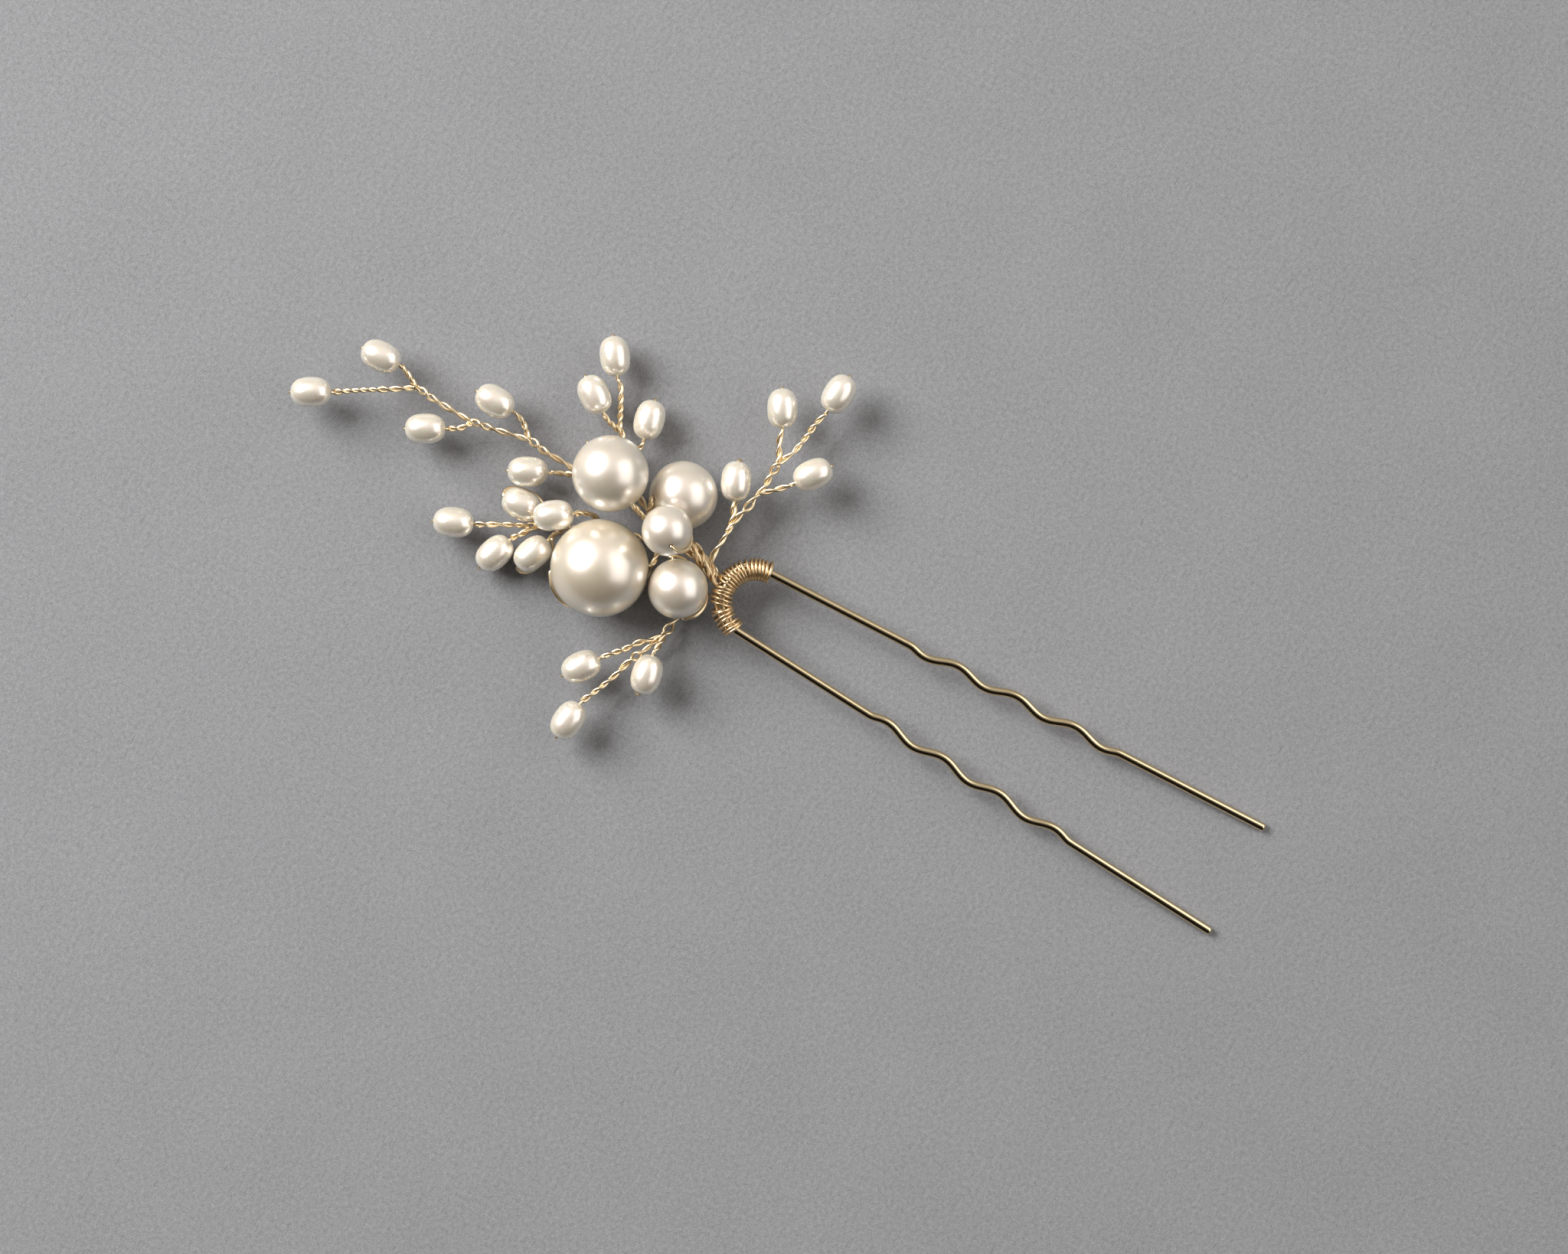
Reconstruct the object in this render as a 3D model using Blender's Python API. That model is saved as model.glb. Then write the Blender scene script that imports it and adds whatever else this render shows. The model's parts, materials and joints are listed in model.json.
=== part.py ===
"""Decorative hair pin: a two-legged wire pin that carries sprigs of pearls on twisted wire.

The pin is one bent wire: a crown and two splayed legs, each crimped halfway. Craft wire is wound
round the crown in two coils. Five sprigs of twisted wire meet in a short trunk above the crown.
Every pearl is threaded on a loop of its sprig's wire, so it can turn about its own bore.

Lengths are in millimetres until place() scales them. The crown's bend has its centre over x = y = 0.
The legs run towards -Y, the sprigs towards +Y, and +Z is up from the table that the pin lies on.
"""

import math
from typing import NamedTuple

import bmesh
import bpy
from mathutils import Matrix, Vector

MM = 0.001

# The model is moved by this much, so that its box is centred over the origin.
ROW_SHIFT = Vector((-1.7, 3.28, 0.0))

# Pin: one wire, bent to a crown and two legs
PIN_RADIUS = 0.55
CROWN_RADIUS = 4.1
CROWN_HEIGHT = 4.5
LEG_SPLAY = math.radians(2.6)
LEG_STRAIGHT = 19.8
CRIMP_HALF_WAVE = 4.1
CRIMP_HALF_WAVES = 7
CRIMP_DEPTH = 0.48
LEG_END = 20.7
LONGER_LEG_EXTRA = 0.6
PIN_SIDES = 8

# Craft wire: single strands, twisted stems and the coils round the crown
STRAND_RADIUS = 0.2
STRAND_SIDES = 5
STEM_RADIUS = 0.4
STEM_SIDES = 6
STEM_STEP = 1.9
COIL_STRAND_RADIUS = 0.15
COIL_RADIUS = 1.12
COIL_STEPS = 9
GAP = 0.35

# Trunk: the short thick twist between the sprigs and the crown
TRUNK_TOP = Vector((1.7, 8.9, 4.7))
TRUNK_FOOT = Vector((0.5, 5.95, 4.4))
TRUNK_RADII = (0.95, 0.85)
SOCKET_RADIUS = 0.68

# Pearls
BORE_RADIUS = 0.5
RICE_HALF_LENGTH = 2.5
RICE_RADIUS = 1.88
RICE_FULLNESS = 2.4
LOOP_GAP = 0.55


class Pearl(NamedTuple):
    """A pearl's centre, the way its bore points from stem to tip, and where its wire comes back.

    heading and pitch are the bore's angles in plan and above the table. loop is the side of the
    pearl that the returning strand takes: 0 is below it, and 90 is to the right of the heading.
    """

    at: tuple
    heading: float
    pitch: float = 0.0
    loop: float = 0.0
    radius: float = RICE_RADIUS

    @property
    def is_rice(self):
        return self.radius == RICE_RADIUS

    @property
    def half_length(self):
        return RICE_HALF_LENGTH if self.is_rice else self.radius

    @property
    def fullness(self):
        return RICE_FULLNESS if self.is_rice else 2.0

    @property
    def axis(self):
        rise, turn = math.radians(self.pitch), math.radians(self.heading)
        return Vector((math.cos(rise) * math.cos(turn), math.cos(rise) * math.sin(turn), math.sin(rise)))

    @property
    def loop_side(self):
        right = self.axis.cross(Vector((0, 0, 1))).normalized()
        below = right.cross(self.axis).normalized() * -1
        angle = math.radians(self.loop)
        return below * math.cos(angle) + right * math.sin(angle)

    def stem_start(self):
        return Vector(self.at) - self.axis * (self.half_length + GAP)


PEARLS = {
    "round_pearl_largest": Pearl((-5.8, 18.6, 6.1), 123, 0, 60, 6.05),
    "round_pearl_top": Pearl((4.9, 23.1, 8.3), 66, 0, 60, 4.7),
    "round_pearl_right": Pearl((7.1, 14.2, 4.3), -54, -30, -60, 4.25),
    "round_pearl_small": Pearl((2.3, 13.5, 10.8), -135, 48, -95, 3.1),
    "round_pearl_lower": Pearl((-3.2, 9.0, 6.2), -141, 0, -115, 3.7),
    "rice_pearl_left_1": Pearl((3.4, 55.0, 4.6), 95),
    "rice_pearl_left_2": Pearl((-4.7, 60.3, 4.6), 120),
    "rice_pearl_left_3": Pearl((-1.6, 45.9, 4.0), 120),
    "rice_pearl_left_4": Pearl((5.6, 40.1, 4.5), 90),
    "rice_pearl_left_5": Pearl((0.1, 32.3, 4.0), 117),
    "rice_pearl_top_1": Pearl((17.8, 30.1, 3.6), 36),
    "rice_pearl_top_2": Pearl((12.4, 29.9, 4.0), 56),
    "rice_pearl_top_3": Pearl((13.1, 22.5, 3.4), 14),
    "rice_pearl_right_1": Pearl((22.4, 8.9, 5.0), 30),
    "rice_pearl_right_2": Pearl((27.4, 3.8, 5.0), -3),
    "rice_pearl_right_3": Pearl((11.8, 9.4, 5.0), 25),
    "rice_pearl_right_4": Pearl((17.2, 1.6, 5.2), -35),
    "rice_pearl_low_left_1": Pearl((-3.8, 31.0, 3.2), 95),
    "rice_pearl_low_left_2": Pearl((-3.0, 26.7, 6.4), 125),
    "rice_pearl_low_left_3": Pearl((-9.9, 37.2, 3.4), 115),
    "rice_pearl_low_left_4": Pearl((-10.7, 30.9, 3.2), 162),
    "rice_pearl_low_left_5": Pearl((-8.4, 26.8, 3.4), 160),
    "rice_pearl_bottom_1": Pearl((-17.5, 14.6, 4.2), 145),
    "rice_pearl_bottom_2": Pearl((-14.3, 7.1, 5.0), -168),
    "rice_pearl_bottom_3": Pearl((-24.0, 12.7, 4.4), 175),
}

# Each sprig: where it meets the trunk's top (an angle round it, or None where it meets the side),
# and its twisted stems. A stem starts at its pearl and follows its points. The first stem reaches
# the trunk, and each other one ends inside a stem before it.
SPRIGS = {
    "left": (
        90,
        {
            "rice_pearl_left_2": [
                (-1.5, 55.2, 4.4), (0.5, 52.0, 4.2), (2.2, 49.2, 4.0), (2.1, 47.0, 3.8),
                (2.0, 43.2, 3.6), (2.2, 40.5, 3.6), (2.9, 37.1, 3.6), (3.6, 34.0, 3.6),
                (3.3, 31.7, 3.4), (3.3, 29.0, 3.0), (3.1, 23.7, 2.6), (3.0, 19.5, 2.9),
                (2.3, 16.9, 3.6), (1.9, 14.2, 4.9), (1.6, 12.3, 5.4),
            ],
            "rice_pearl_left_1": [(3.1, 50.9, 4.4), (2.2, 49.2, 4.0)],
            "rice_pearl_left_3": [(0.6, 42.2, 3.8), (2.1, 41.2, 3.6)],
            "rice_pearl_left_4": [(5.2, 36.0, 4.1), (4.3, 34.9, 3.7), (3.6, 34.0, 3.6)],
            "rice_pearl_left_5": [(1.9, 28.8, 3.5), (2.6, 27.2, 3.0), (3.1, 25.4, 2.7)],
            "round_pearl_right": [(4.1, 18.1, 6.3), (3.2, 18.0, 5.2), (2.5, 17.3, 3.8)],
            "round_pearl_top": [(2.4, 17.2, 7.2), (1.9, 15.4, 6.4), (1.7, 13.6, 5.9), (1.6, 12.3, 5.4)],
            "round_pearl_small": [(3.3, 15.9, 7.3), (2.6, 15.8, 6.8), (1.9, 15.4, 6.4)],
        },
    ),
    "top": (
        330,
        {
            "rice_pearl_top_1": [
                (14.9, 27.6, 3.3), (12.9, 26.5, 3.0), (10.8, 25.4, 2.7), (9.7, 24.4, 2.4),
                (6.5, 22.2, 1.7), (4.6, 19.5, 1.3), (3.2, 17.0, 1.4), (2.2, 14.9, 2.2),
                (2.3, 12.6, 3.4),
            ],
            "rice_pearl_top_2": [(10.4, 26.7, 3.6), (10.2, 25.6, 3.0), (9.9, 24.6, 2.5)],
            "rice_pearl_top_3": [(9.5, 21.8, 2.9), (8.4, 22.4, 2.3), (7.3, 22.7, 1.9)],
        },
    ),
    "right": (
        None,
        {
            "rice_pearl_right_2": [
                (22.9, 4.4, 4.8), (20.4, 4.7, 4.6), (18.3, 5.1, 4.6), (16.8, 5.8, 4.6),
                (14.9, 6.1, 4.6), (13.1, 6.0, 4.7), (11.7, 6.3, 4.8), (9.6, 6.6, 4.9),
                (8.1, 7.0, 5.0), (6.1, 7.2, 5.1), (4.8, 7.2, 5.2), (3.7, 7.3, 5.1), (2.5, 7.5, 4.9),
            ],
            "rice_pearl_right_1": [(18.8, 7.3, 4.8), (17.6, 6.6, 4.6), (16.2, 6.0, 4.6)],
            "rice_pearl_right_4": [(14.1, 3.9, 5.0), (13.0, 5.0, 4.9), (11.9, 6.2, 4.8)],
            "rice_pearl_right_3": [(8.6, 7.9, 5.0), (7.3, 7.4, 5.0), (6.1, 7.2, 5.1)],
        },
    ),
    "low_left": (
        210,
        {
            "rice_pearl_low_left_3": [
                (-7.9, 33.2, 3.2), (-6.5, 30.7, 2.8), (-5.3, 28.3, 2.2), (-4.0, 25.8, 1.7),
                (-2.8, 23.6, 1.3), (-1.2, 21.0, 1.2), (-0.3, 18.0, 1.4), (0.0, 15.6, 2.2),
                (0.2, 13.6, 3.1), (0.6, 12.0, 3.9),
            ],
            "rice_pearl_low_left_4": [(-7.2, 29.4, 3.0), (-6.0, 28.6, 2.5), (-5.2, 28.0, 2.1)],
            "rice_pearl_low_left_1": [(-3.7, 27.4, 2.8), (-4.2, 26.3, 1.8)],
            "rice_pearl_low_left_2": [(-0.9, 23.6, 5.6), (-0.6, 22.6, 4.0), (-0.8, 21.6, 2.4), (-1.2, 21.0, 1.2)],
            "rice_pearl_low_left_5": [(-5.0, 25.6, 2.7), (-4.4, 25.3, 2.0), (-3.7, 25.2, 1.6)],
            "round_pearl_largest": [(-1.3, 13.2, 5.6), (-0.5, 13.5, 4.4), (0.1, 14.0, 2.9)],
            "round_pearl_lower": [(0.0, 12.4, 5.6), (0.1, 13.0, 4.4), (0.2, 13.6, 3.1)],
        },
    ),
    "bottom": (
        None,
        {
            "rice_pearl_bottom_3": [
                (-19.8, 11.8, 4.2), (-17.8, 11.0, 4.1), (-16.1, 10.4, 4.0), (-14.2, 9.9, 3.9),
                (-12.2, 9.0, 3.6), (-10.3, 8.3, 3.2), (-8.6, 7.7, 2.7), (-6.3, 7.4, 1.8),
                (-3.6, 7.0, 1.7), (-1.6, 7.0, 2.4), (-0.3, 7.1, 3.1),
            ],
            "rice_pearl_bottom_1": [
                (-14.1, 12.1, 4.0), (-13.0, 11.1, 3.8), (-11.4, 10.0, 3.5), (-10.1, 8.6, 3.1), (-8.8, 7.8, 2.8),
            ],
            "rice_pearl_bottom_2": [(-10.6, 7.6, 4.4), (-9.7, 7.6, 3.6), (-8.7, 7.7, 2.8)],
        },
    ),
}

# Each coil: the crown angles where it starts and ends, and its number of turns
COILS = {
    "crown_wrap_upper": (86, 0, 14),
    "crown_wrap_lower": (94, 176, 12),
}


def clear_scene():
    for obj in list(bpy.data.objects):
        bpy.data.objects.remove(obj, do_unlink=True)


def material(name, color, metallic, roughness):
    mat = bpy.data.materials.new(name)
    mat.use_nodes = True
    principled = mat.node_tree.nodes["Principled BSDF"]
    principled.inputs["Base Color"].default_value = (*color, 1.0)
    principled.inputs["Metallic"].default_value = metallic
    principled.inputs["Roughness"].default_value = roughness
    return mat


def gold(name):
    return material(name, (0.80, 0.62, 0.36), 1.0, 0.22)


def nacre(name):
    return material(name, (0.90, 0.84, 0.74), 0.0, 0.18)


def add_object(name, bm, mat, parent):
    """A named, smooth-shaded object made from a mesh in millimetres."""
    bmesh.ops.scale(bm, verts=bm.verts, vec=(MM, MM, MM))
    mesh = bpy.data.meshes.new(name)
    bm.to_mesh(mesh)
    bm.free()
    mesh.shade_smooth()
    mesh.set_sharp_from_angle(angle=math.radians(40))
    mesh.materials.append(mat)
    obj = bpy.data.objects.new(name, mesh)
    bpy.context.scene.collection.objects.link(obj)
    obj.parent = parent
    return obj


def add_tube(bm, points, radii, sides):
    """A closed tube with flat ends along points, carried without twist from each point to the next."""
    points = [Vector(p) for p in points]
    if isinstance(radii, (int, float)):
        radii = [radii] * len(points)
    ahead = [(b - a).normalized() for a, b in zip(points, points[1:])]
    tangents = [ahead[0]] + [(a + b).normalized() for a, b in zip(ahead, ahead[1:])] + [ahead[-1]]
    side = tangents[0].orthogonal().normalized()
    rings = []
    for point, tangent, radius in zip(points, tangents, radii):
        side = (side - tangent * side.dot(tangent)).normalized()
        across = tangent.cross(side)
        turns = [2 * math.pi * i / sides for i in range(sides)]
        rings.append([bm.verts.new(point + (side * math.cos(t) + across * math.sin(t)) * radius) for t in turns])
    for near, far in zip(rings, rings[1:]):
        for i in range(sides):
            j = (i + 1) % sides
            bm.faces.new((near[i], near[j], far[j], far[i]))
    bm.faces.new(rings[0][::-1])
    bm.faces.new(rings[-1])


def smooth_path(points, step):
    """Points about one step apart on a Catmull-Rom curve through the given ones."""
    points = [Vector(p) for p in points]
    padded = [points[0] * 2 - points[1]] + points + [points[-1] * 2 - points[-2]]
    path = []
    for before, start, end, after in zip(padded, padded[1:], padded[2:], padded[3:]):
        count = max(1, round((end - start).length / step))
        for i in range(count):
            t = i / count
            path.append(
                (start * 2 + (end - before) * t + (before * 2 - start * 5 + end * 4 - after) * t**2
                 + (start * 3 - before - end * 3 + after) * t**3) / 2
            )
    return path + [points[-1]]


# ---- Pin ----

def pin_tilt():
    """The angle that brings the longer leg's tip down to the table."""
    reach = LEG_STRAIGHT + CRIMP_HALF_WAVE * CRIMP_HALF_WAVES + LEG_END + LONGER_LEG_EXTRA
    lowest = PIN_RADIUS * math.cos(math.pi / PIN_SIDES)
    return math.asin((CROWN_HEIGHT - lowest) / (reach * math.cos(LEG_SPLAY)))


def tilted(x, y):
    """A point of the pin's plane, which drops from the crown towards the tips."""
    tilt = pin_tilt()
    return Vector((x, y * math.cos(tilt), CROWN_HEIGHT + y * math.sin(tilt)))


def leg_points(extra):
    """One leg in its own line: distance from the crown and sideways offset, first bump inwards."""
    crimp = CRIMP_HALF_WAVE * CRIMP_HALF_WAVES
    points = [(0.0, 0.0), (LEG_STRAIGHT / 2, 0.0)]
    steps = 5 * CRIMP_HALF_WAVES
    for i in range(steps + 1):
        wave = math.sin(math.pi * CRIMP_HALF_WAVES * i / steps)
        points.append((LEG_STRAIGHT + crimp * i / steps, -CRIMP_DEPTH * wave))
    points.append((LEG_STRAIGHT + crimp + LEG_END / 2, 0.0))
    points.append((LEG_STRAIGHT + crimp + LEG_END + extra, 0.0))
    return points


def pin_path():
    path = []
    for side, extra in ((1, 0.0), (-1, LONGER_LEG_EXTRA)):
        leg = []
        for along, sideways in leg_points(extra):
            out = CROWN_RADIUS + sideways
            x = out * math.cos(LEG_SPLAY) + along * math.sin(LEG_SPLAY)
            y = out * math.sin(LEG_SPLAY) - along * math.cos(LEG_SPLAY)
            leg.append(tilted(side * x, y))
        path.append(leg)
    crown_steps = 14
    crown = []
    for i in range(1, crown_steps):
        angle = LEG_SPLAY + (math.pi - 2 * LEG_SPLAY) * i / crown_steps
        crown.append(tilted(CROWN_RADIUS * math.cos(angle), CROWN_RADIUS * math.sin(angle)))
    return path[0][::-1] + crown + path[1]


def make_pin(parent):
    bm = bmesh.new()
    add_tube(bm, pin_path(), PIN_RADIUS, PIN_SIDES)
    add_object("hair_pin", bm, material("hair_pin", (0.83, 0.72, 0.50), 1.0, 0.16), parent)


def make_coil(name, start, end, turns, parent):
    """Craft wire wound round the crown, from one crown angle to another."""
    up = tilted(0, 1) - tilted(0, 0)
    normal = Vector((1, 0, 0)).cross(up)
    points = []
    for i in range(turns * COIL_STEPS + 1):
        angle = math.radians(start + (end - start) * i / (turns * COIL_STEPS))
        turn = 2 * math.pi * i / COIL_STEPS
        out = CROWN_RADIUS + COIL_RADIUS * math.cos(turn)
        centre = tilted(out * math.cos(angle), out * math.sin(angle))
        points.append(centre + normal * COIL_RADIUS * math.sin(turn))
    bm = bmesh.new()
    add_tube(bm, points, COIL_STRAND_RADIUS, 4)
    add_object(name, bm, material(name, (0.62, 0.44, 0.24), 1.0, 0.26), parent)


def make_trunk(parent):
    bm = bmesh.new()
    middle = (TRUNK_TOP + TRUNK_FOOT) / 2
    radii = (TRUNK_RADII[0], sum(TRUNK_RADII) / 2, TRUNK_RADII[1])
    add_tube(bm, (TRUNK_TOP, middle, TRUNK_FOOT), radii, 12)
    add_object("stem_trunk", bm, gold("stem_trunk"), parent)


# ---- Pearls ----

def swell(amount, fullness):
    """A sine or cosine bent towards a square, so that an oval becomes a soft barrel."""
    return math.copysign(abs(amount) ** (2 / fullness), amount)


def make_pearl(name, pearl, parent):
    """A drilled pearl, turned about its bore, with its origin on the bore's axis."""
    steps, sides = (6, 12) if pearl.is_rice else (9, 16)
    edge = math.acos((BORE_RADIUS / pearl.radius) ** (pearl.fullness / 2))
    bm = bmesh.new()
    ring = []
    for i in range(steps + 1):
        angle = -edge + 2 * edge * i / steps
        along = pearl.half_length * swell(math.sin(angle), pearl.fullness)
        out = pearl.radius * swell(math.cos(angle), pearl.fullness)
        ring.append(bm.verts.new((out, 0, along)))
    edges = [bm.edges.new((a, b)) for a, b in zip(ring, ring[1:] + ring[:1])]
    bmesh.ops.spin(
        bm, geom=ring + edges, cent=(0, 0, 0), axis=(0, 0, 1), angle=2 * math.pi, steps=sides, use_merge=True
    )
    bmesh.ops.recalc_face_normals(bm, faces=bm.faces)
    obj = add_object(name, bm, nacre(name), parent)
    obj.location = Vector(pearl.at) * MM
    obj.rotation_mode = "QUATERNION"
    obj.rotation_quaternion = pearl.axis.to_track_quat("Z", "Y")


def loop_path(pearl):
    """The strand through a pearl: in from the stem, out at the tip and back round one side."""
    centre, axis, side = Vector(pearl.at), pearl.axis, pearl.loop_side
    reach, out = pearl.half_length + LOOP_GAP, pearl.radius + LOOP_GAP
    hidden_end = pearl.half_length + GAP + STEM_RADIUS
    flat = [(-hidden_end, 0.0), (0.0, 0.0), (reach - STRAND_RADIUS, 0.0)]
    steps = 7 if pearl.is_rice else 12
    for i in range(1, steps):
        angle = math.pi * i / steps
        flat.append((reach * swell(math.cos(angle), pearl.fullness), out * swell(math.sin(angle), pearl.fullness)))
    flat.append((-hidden_end, 0.0))
    return [centre + axis * along + side * sideways for along, sideways in flat]


# ---- Sprigs ----

def trunk_socket(angle):
    """The last two points of a stem that meets the trunk's top end face to face."""
    axis = (TRUNK_FOOT - TRUNK_TOP).normalized()
    right = axis.cross(Vector((0, 0, 1))).normalized() * -1
    above = axis.cross(right).normalized()
    turn = math.radians(angle)
    off_axis = (right * math.cos(turn) + above * math.sin(turn)) * SOCKET_RADIUS
    return [TRUNK_TOP + off_axis - axis * distance for distance in (1.5, GAP)]


def tube_object(name, points, radius, sides, mat, parent):
    bm = bmesh.new()
    add_tube(bm, points, radius, sides)
    return add_object(name, bm, mat, parent)


def make_sprig(name, socket, stems, parent):
    """One sprig's wire: its longest stem, joined by a union to its other stems and its pearls' loops."""
    node = f"sprig_wire_{name}"
    mat = gold(node)
    branches = bpy.data.collections.new(f"{node}_branches")
    bpy.context.scene.collection.children.link(branches)
    sprig = None
    for pearl_name, points in stems.items():
        pearl = PEARLS[pearl_name]
        route = [pearl.stem_start()] + points
        if sprig is None and socket is not None:
            route += trunk_socket(socket)
        stem = tube_object(f"{node}_stem", smooth_path(route, STEM_STEP), STEM_RADIUS, STEM_SIDES, mat, parent)
        loop = tube_object(f"{node}_loop", loop_path(pearl), STRAND_RADIUS, STRAND_SIDES, mat, parent)
        pieces = [loop] if sprig is None else [stem, loop]
        if sprig is None:
            sprig = stem
            sprig.name = node
        for piece in pieces:
            bpy.context.scene.collection.objects.unlink(piece)
            branches.objects.link(piece)
            piece.hide_render = True
            piece.display_type = "WIRE"
    union = sprig.modifiers.new("join_branches", "BOOLEAN")
    union.operation = "UNION"
    union.operand_type = "COLLECTION"
    union.collection = branches
    union.solver = "EXACT"


def main():
    clear_scene()
    frame = bpy.data.objects.new("pin_frame", None)
    frame.location = ROW_SHIFT * MM
    bpy.context.scene.collection.objects.link(frame)
    make_pin(frame)
    for name, (start, end, turns) in COILS.items():
        make_coil(name, start, end, turns, frame)
    make_trunk(frame)
    for name, (socket, stems) in SPRIGS.items():
        make_sprig(name, socket, stems, frame)
    for name, pearl in PEARLS.items():
        make_pearl(name, pearl, frame)


main()
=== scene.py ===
"""Looks for the decorative hair pin: a crimped wire pin with sprigs of pearls on twisted gold wire."""
import json
import math

import bpy
import numpy as np
from mathutils import Matrix


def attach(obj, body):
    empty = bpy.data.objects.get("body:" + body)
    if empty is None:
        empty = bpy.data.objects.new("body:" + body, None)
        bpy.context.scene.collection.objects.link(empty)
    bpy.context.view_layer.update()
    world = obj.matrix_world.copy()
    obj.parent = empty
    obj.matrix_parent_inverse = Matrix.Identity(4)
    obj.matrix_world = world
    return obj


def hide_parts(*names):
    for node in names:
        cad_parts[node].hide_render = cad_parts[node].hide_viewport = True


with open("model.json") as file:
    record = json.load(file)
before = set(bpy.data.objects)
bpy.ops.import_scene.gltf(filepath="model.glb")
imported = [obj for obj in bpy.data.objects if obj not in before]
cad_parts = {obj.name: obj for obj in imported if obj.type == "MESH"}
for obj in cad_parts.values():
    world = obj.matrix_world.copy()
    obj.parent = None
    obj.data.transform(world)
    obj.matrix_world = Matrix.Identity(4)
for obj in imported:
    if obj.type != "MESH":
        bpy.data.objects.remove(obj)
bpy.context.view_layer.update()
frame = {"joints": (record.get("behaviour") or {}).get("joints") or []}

# ---- Table, light and camera ----
# The pin lies on plain pale grey paper, under one large soft lamp high on the left of the view, with
# a broad white reflector on the right. The camera looks straight down, turned so that the sprigs
# point to the upper left of the view and the legs to the lower right.

MM = 0.001
VIEW_TURN = math.radians(-60.15)
CAMERA_HEIGHT = 0.450
CAMERA_PLACE = (-0.0025, -0.00135)
PEARLS_PLACE = np.array([0.0, 0.02, 0.0])


def view_spot(right, up, height):
    """A place given by its distance to the right of and above the view's centre, and its height."""
    c, s = math.cos(VIEW_TURN), math.sin(VIEW_TURN)
    return (CAMERA_PLACE[0] + right * c - up * s, CAMERA_PLACE[1] + right * s + up * c, height)


camera = bpy.data.objects.new("camera", bpy.data.cameras.new("camera"))
camera.data.sensor_width = 36.0
camera.data.lens = 83.05
camera.data.clip_start = 0.01
camera.location = (*CAMERA_PLACE, CAMERA_HEIGHT)
camera.rotation_euler = (0, 0, VIEW_TURN)
bpy.context.scene.collection.objects.link(camera)
bpy.context.scene.camera = camera
bpy.context.scene.view_settings.view_transform = "Standard"


def softbox(name, right, up, height, wide, tall, power, color=(1, 1, 1)):
    """A rectangular lamp at a view_spot, turned to face the pearls."""
    lamp = bpy.data.objects.new(name, bpy.data.lights.new(name, "AREA"))
    lamp.data.shape = "RECTANGLE"
    lamp.data.size, lamp.data.size_y = wide, tall
    lamp.data.energy = power
    lamp.data.color = color
    place = np.array(view_spot(right, up, height))
    back = (place - PEARLS_PLACE) / np.linalg.norm(place - PEARLS_PLACE)
    across = np.cross((0, 0, 1), back)
    across /= np.linalg.norm(across)
    turn = Matrix(np.column_stack((across, np.cross(back, across), back)).tolist())
    lamp.matrix_world = Matrix.Translation(place.tolist()) @ turn.to_4x4()
    bpy.context.scene.collection.objects.link(lamp)


softbox("key_lamp", right=-0.58, up=0.40, height=0.58, wide=0.58, tall=0.54, power=13.2)
softbox(
    "side_reflector", right=0.58, up=0.06, height=0.48, wide=0.95, tall=0.62, power=2.7,
    color=(1.0, 0.99, 0.97),
)


class Value:
    """A number or colour that a shader works out: arithmetic on it adds the Math nodes."""

    def __init__(self, finish, socket):
        self.finish, self.socket = finish, socket

    def math(self, operation, *values):
        return self.finish.node("ShaderNodeMath", {"operation": operation}, *values)

    def __add__(self, other):
        return self.math("ADD", self, other)

    def __sub__(self, other):
        return self.math("SUBTRACT", self, other)

    def __rsub__(self, other):
        return self.math("SUBTRACT", other, self)

    def __mul__(self, other):
        return self.math("MULTIPLY", self, other)

    __radd__, __rmul__ = __add__, __mul__


class Finish:
    """A material's nodes, added one at a time and linked to each other or to the Principled BSDF."""

    def __init__(self, name, tree=None):
        if tree is None:
            self.material = bpy.data.materials.new(name)
            self.material.use_nodes = True
            tree = self.material.node_tree
        self.tree = tree
        self.principled = tree.nodes.get("Principled BSDF")

    def put(self, socket, value):
        if isinstance(value, Value):
            self.tree.links.new(value.socket, socket)
        else:
            socket.default_value = value

    def node(self, kind, settings=None, *values, out=0, **named):
        """One node: its settings first, then its sockets in order or by name. Gives back an output."""
        node = self.tree.nodes.new(kind)
        for key, setting in (settings or {}).items():
            setattr(node, key, setting)
        for socket, value in zip(node.inputs, values):
            self.put(socket, value)
        for key, value in named.items():
            self.put(node.inputs[key.replace("_", " ")], value)
        return Value(self, node.outputs[out])

    def place(self):
        return self.node("ShaderNodeTexCoord", out=3)

    def noise(self, scale, detail=2.0, roughness=0.5, where=None):
        return self.node(
            "ShaderNodeTexNoise", {},
            Vector=where or self.place(), Scale=scale, Detail=detail, Roughness=roughness,
        )

    def blend(self, amount, first, second):
        """The first colour where amount is 0 and the second where it is 1."""
        mixed = self.tree.nodes.new("ShaderNodeMix")
        mixed.data_type = "RGBA"
        for number, value in ((0, amount), (6, first), (7, second)):
            self.put(mixed.inputs[number], value)
        return Value(self, mixed.outputs[2])

    def bump(self, height, strength, distance):
        return self.node("ShaderNodeBump", {}, Height=height, Strength=strength, Distance=distance)

    def surface(self, **named):
        """Sets or links the Principled BSDF's sockets."""
        for key, value in named.items():
            self.put(self.principled.inputs[key.replace("_", " ")], value)
        return self.material


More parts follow.
